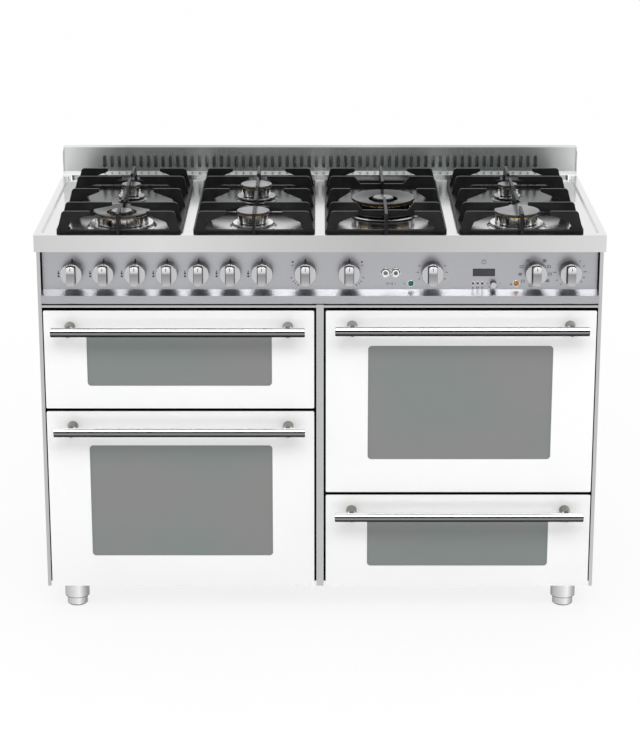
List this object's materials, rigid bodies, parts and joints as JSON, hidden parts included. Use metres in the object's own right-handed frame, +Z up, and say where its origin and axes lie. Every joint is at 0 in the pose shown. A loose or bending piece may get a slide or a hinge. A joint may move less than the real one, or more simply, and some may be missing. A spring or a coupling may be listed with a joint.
{
  "type": "range cooker",
  "caption": "Freestanding range cooker with a gas hob on cast iron pan supports, drop-down oven doors, a storage drawer and turning knobs.",
  "frame": {"origin": "on the floor, in the middle of the whole cooker's footprint", "axes": "+Z up, +X to the right of someone in front of the cooker, +Y to the back, towards the wall"},
  "size_m": [1.196, 0.632, 0.92],
  "materials": {
    "hob_steel": "brushed stainless steel",
    "splashback_steel": "brushed stainless steel",
    "side_steel": "brushed stainless steel",
    "back_sheet": "galvanised sheet, dull grey",
    "base_sheet": "galvanised sheet, dull grey",
    "frame_steel": "brushed stainless steel",
    "panel_steel": "brushed stainless steel",
    "foot_steel": "satin grey metal",
    "insulation_wool": "mineral wool",
    "seal_rubber": "matt dark silicone rubber",
    "shelf_wire": "bright plated wire",
    "element_steel": "dark heat-tinted steel tube",
    "fan_cover_steel": "dark vitreous enamel",
    "pipe_metal": "plain drawn aluminium",
    "tap_brass": "machined brass",
    "switch_plastic": "dark moulded plastic",
    "lamp_lens": "clear coloured lenses and dark display",
    "runner_steel": "zinc-plated steel",
    "cup_steel": "bright turned metal",
    "head_metal": "cast aluminium",
    "cap_enamel": "satin black vitreous enamel",
    "cavity_enamel": "dark vitreous enamel",
    "door_enamel": "smooth white enamel",
    "pane_glass": "grey-tinted oven glass",
    "liner_enamel": "dark vitreous enamel",
    "tub_steel": "grey painted sheet",
    "handle_chrome": "polished chrome",
    "knob_chrome": "polished chrome with satin grip",
    "button_chrome": "satin chrome",
    "fan_steel": "pressed steel",
    "support_iron": "matt black cast iron"
  },
  "bodies": {
    "cabinet": {"hob_top": "hob_steel", "splashback": "splashback_steel", "side_panels": "side_steel", "back_panel": "back_sheet", "base_tray": "base_sheet", "front_frame": "frame_steel", "control_panel": "panel_steel", "levelling_feet": "foot_steel", "oven_insulation": "insulation_wool", "door_seals": "seal_rubber", "oven_shelves": "shelf_wire", "heating_elements": "element_steel", "fan_cover_and_motor": "fan_cover_steel", "gas_pipework": "pipe_metal", "gas_taps": "tap_brass", "oven_controls": "switch_plastic", "indicator_lights": "lamp_lens", "drawer_runners": "runner_steel", "burner_cups": "cup_steel", "burner_heads": "head_metal", "burner_caps": "cap_enamel", "grill_oven_cavity": "cavity_enamel", "left_oven_cavity": "cavity_enamel", "right_oven_cavity": "cavity_enamel"},
    "grill_door": {"grill_door_panel": "door_enamel", "grill_door_panes": "pane_glass", "grill_door_liner": "liner_enamel", "grill_door_handle": "handle_chrome"},
    "left_door": {"left_door_panel": "door_enamel", "left_door_panes": "pane_glass", "left_door_liner": "liner_enamel", "left_door_handle": "handle_chrome"},
    "right_door": {"right_door_panel": "door_enamel", "right_door_panes": "pane_glass", "right_door_liner": "liner_enamel", "right_door_handle": "handle_chrome"},
    "drawer": {"drawer_front": "door_enamel", "drawer_pane": "pane_glass", "drawer_tub": "tub_steel", "drawer_handle": "handle_chrome"},
    "knob_left_rear_burner": {"knob_left_rear_burner": "knob_chrome"},
    "knob_left_front_burner": {"knob_left_front_burner": "knob_chrome"},
    "knob_inner_front_burner": {"knob_inner_front_burner": "knob_chrome"},
    "knob_inner_rear_burner": {"knob_inner_rear_burner": "knob_chrome"},
    "knob_wok_burner": {"knob_wok_burner": "knob_chrome"},
    "knob_right_rear_burner": {"knob_right_rear_burner": "knob_chrome"},
    "knob_right_front_burner": {"knob_right_front_burner": "knob_chrome"},
    "knob_grill_oven": {"knob_grill_oven": "knob_chrome"},
    "knob_left_oven": {"knob_left_oven": "knob_chrome"},
    "knob_right_thermostat": {"knob_right_thermostat": "knob_chrome"},
    "knob_right_selector": {"knob_right_selector": "knob_chrome"},
    "knob_oven_light": {"knob_oven_light": "knob_chrome"},
    "timer_knob": {"timer_knob": "knob_chrome"},
    "oven_fan": {"oven_fan": "fan_steel"},
    "ignition_button": {"ignition_button": "button_chrome"},
    "light_button": {"light_button": "button_chrome"},
    "pan_support_left": {"pan_support_left": "support_iron"},
    "pan_support_middle_left": {"pan_support_middle_left": "support_iron"},
    "pan_support_wok": {"pan_support_wok": "support_iron"},
    "pan_support_right": {"pan_support_right": "support_iron"}
  },
  "joints": [
    {"name": "grill_door_hinge", "type": "hinge", "parent": "cabinet", "child": "grill_door", "pos_m": [-0.29875, -0.256, 0.476], "axis": [1, 0, 0], "range_deg": [0, 90]},
    {"name": "left_door_hinge", "type": "hinge", "parent": "cabinet", "child": "left_door", "pos_m": [-0.29875, -0.256, 0.066], "axis": [1, 0, 0], "range_deg": [0, 90]},
    {"name": "right_door_hinge", "type": "hinge", "parent": "cabinet", "child": "right_door", "pos_m": [0.29875, -0.256, 0.285], "axis": [1, 0, 0], "range_deg": [0, 90]},
    {"name": "drawer_slide", "type": "slide", "parent": "cabinet", "child": "drawer", "axis": [0, -1, 0], "range_m": [0, 0.4]},
    {"name": "knob_left_rear_burner_turn", "type": "hinge", "parent": "cabinet", "child": "knob_left_rear_burner", "pos_m": [-0.5226, -0.26, 0.768], "axis": [0, -1, 0], "range_deg": [0, 210]},
    {"name": "knob_left_front_burner_turn", "type": "hinge", "parent": "cabinet", "child": "knob_left_front_burner", "pos_m": [-0.45585, -0.26, 0.768], "axis": [0, -1, 0], "range_deg": [0, 210]},
    {"name": "knob_inner_front_burner_turn", "type": "hinge", "parent": "cabinet", "child": "knob_inner_front_burner", "pos_m": [-0.3891, -0.26, 0.768], "axis": [0, -1, 0], "range_deg": [0, 210]},
    {"name": "knob_inner_rear_burner_turn", "type": "hinge", "parent": "cabinet", "child": "knob_inner_rear_burner", "pos_m": [-0.32235, -0.26, 0.768], "axis": [0, -1, 0], "range_deg": [0, 210]},
    {"name": "knob_wok_burner_turn", "type": "hinge", "parent": "cabinet", "child": "knob_wok_burner", "pos_m": [-0.2556, -0.26, 0.768], "axis": [0, -1, 0], "range_deg": [0, 210]},
    {"name": "knob_right_rear_burner_turn", "type": "hinge", "parent": "cabinet", "child": "knob_right_rear_burner", "pos_m": [-0.18885, -0.26, 0.768], "axis": [0, -1, 0], "range_deg": [0, 210]},
    {"name": "knob_right_front_burner_turn", "type": "hinge", "parent": "cabinet", "child": "knob_right_front_burner", "pos_m": [-0.1221, -0.26, 0.768], "axis": [0, -1, 0], "range_deg": [0, 210]},
    {"name": "knob_grill_oven_turn", "type": "hinge", "parent": "cabinet", "child": "knob_grill_oven", "pos_m": [-0.0308, -0.26, 0.768], "axis": [0, 1, 0], "range_deg": [0, 270]},
    {"name": "knob_left_oven_turn", "type": "hinge", "parent": "cabinet", "child": "knob_left_oven", "pos_m": [0.0616, -0.26, 0.768], "axis": [0, 1, 0], "range_deg": [0, 270]},
    {"name": "knob_right_thermostat_turn", "type": "hinge", "parent": "cabinet", "child": "knob_right_thermostat", "pos_m": [0.2368, -0.26, 0.768], "axis": [0, 1, 0], "range_deg": [0, 270]},
    {"name": "knob_right_selector_turn", "type": "hinge", "parent": "cabinet", "child": "knob_right_selector", "pos_m": [0.4548, -0.26, 0.768], "axis": [0, 1, 0], "range_deg": [0, 315]},
    {"name": "knob_oven_light_turn", "type": "hinge", "parent": "cabinet", "child": "knob_oven_light", "pos_m": [0.5275, -0.26, 0.768], "axis": [0, 1, 0], "range_deg": [0, 90]},
    {"name": "timer_knob_turn", "type": "hinge", "parent": "cabinet", "child": "timer_knob", "pos_m": [0.366, -0.25, 0.742], "axis": [0, 1, 0], "continuous": true},
    {"name": "oven_fan_spin", "type": "hinge", "parent": "cabinet", "child": "oven_fan", "pos_m": [0.29875, 0.15, 0.481], "axis": [0, 1, 0], "continuous": true},
    {"name": "ignition_button_press", "type": "slide", "parent": "cabinet", "child": "ignition_button", "axis": [0, 1, 0], "range_m": [0, 0.003], "stiffness_N_per_m": 400},
    {"name": "light_button_press", "type": "slide", "parent": "cabinet", "child": "light_button", "axis": [0, 1, 0], "range_m": [0, 0.003], "stiffness_N_per_m": 400},
    {"name": "pan_support_left_lift", "type": "slide", "parent": "cabinet", "child": "pan_support_left", "axis": [0, 0, 1], "range_m": [0, 0.12]},
    {"name": "pan_support_middle_left_lift", "type": "slide", "parent": "cabinet", "child": "pan_support_middle_left", "axis": [0, 0, 1], "range_m": [0, 0.12]},
    {"name": "pan_support_wok_lift", "type": "slide", "parent": "cabinet", "child": "pan_support_wok", "axis": [0, 0, 1], "range_m": [0, 0.12]},
    {"name": "pan_support_right_lift", "type": "slide", "parent": "cabinet", "child": "pan_support_right", "axis": [0, 0, 1], "range_m": [0, 0.12]}
  ]
}
